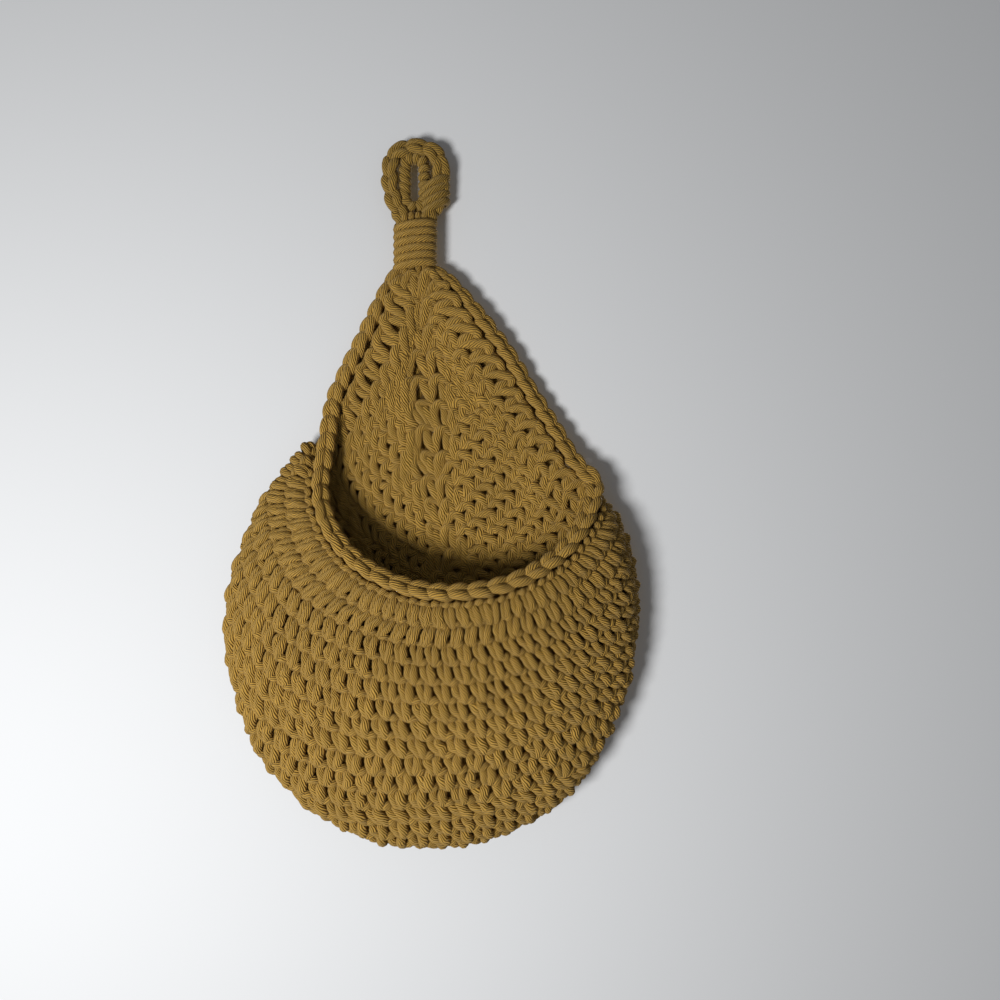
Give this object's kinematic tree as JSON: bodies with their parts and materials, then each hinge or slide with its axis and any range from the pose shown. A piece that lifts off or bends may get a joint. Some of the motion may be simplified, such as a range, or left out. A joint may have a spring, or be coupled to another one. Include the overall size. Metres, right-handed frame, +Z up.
{
  "type": "crocheted wall basket",
  "caption": "Teardrop wall pouch crocheted from thick ochre cotton cord, open at the front and hung by a slotted ring above a bound neck.",
  "frame": {"origin": "the point on the wall where the pin stands out, under the top of the ring's slot", "axes": "+Z up, +X to the right as seen from the room, +Y into the wall; the wall is the plane y = 0 and the basket is on its room side"},
  "size_m": [0.2798, 0.0628, 0.4812],
  "materials": {
    "pouch_cord": "ochre soft cotton cord in single crochet, matt, twisted from fine plies",
    "rim_cord": "the same ochre cotton cord in slip stitches, matt",
    "winding_cord": "the same ochre cotton cord wound tight, matt",
    "ring_cord": "the same ochre cotton cord worked tight round the slot, matt"
  },
  "bodies": {
    "root": {"crocheted_pouch": "pouch_cord", "rim_braid": "rim_cord", "neck_winding": "winding_cord", "hanging_ring": "ring_cord"}
  },
  "joints": []
}
